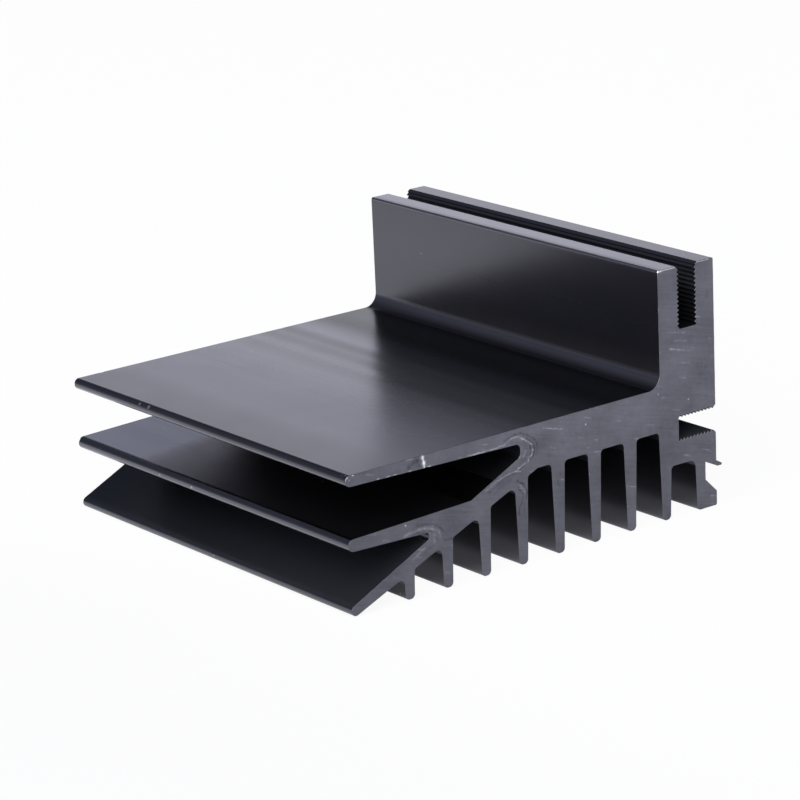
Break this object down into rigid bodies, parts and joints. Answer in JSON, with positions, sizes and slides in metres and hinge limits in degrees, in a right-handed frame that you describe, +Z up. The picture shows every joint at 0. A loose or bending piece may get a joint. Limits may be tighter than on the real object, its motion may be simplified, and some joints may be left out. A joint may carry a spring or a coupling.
{
  "type": "heat sink",
  "caption": "Extruded black anodised heat sink: thick mounting wall with serrated screw channels and a clip groove, flat base, long side fins and drafted fins underneath.",
  "frame": {"origin": "centre of the box's footprint, on the plane that the underside fins stand on", "axes": "+Z up from the fin tips to the wall's top, +Y along the extrusion, +X from the long fins' tips to the mounting wall"},
  "size_m": [0.072, 0.07, 0.0394],
  "materials": {
    "anodised_aluminium": "black anodised, satin, with sawn ends"
  },
  "bodies": {
    "root": {"heat_sink": "anodised_aluminium"}
  },
  "joints": []
}
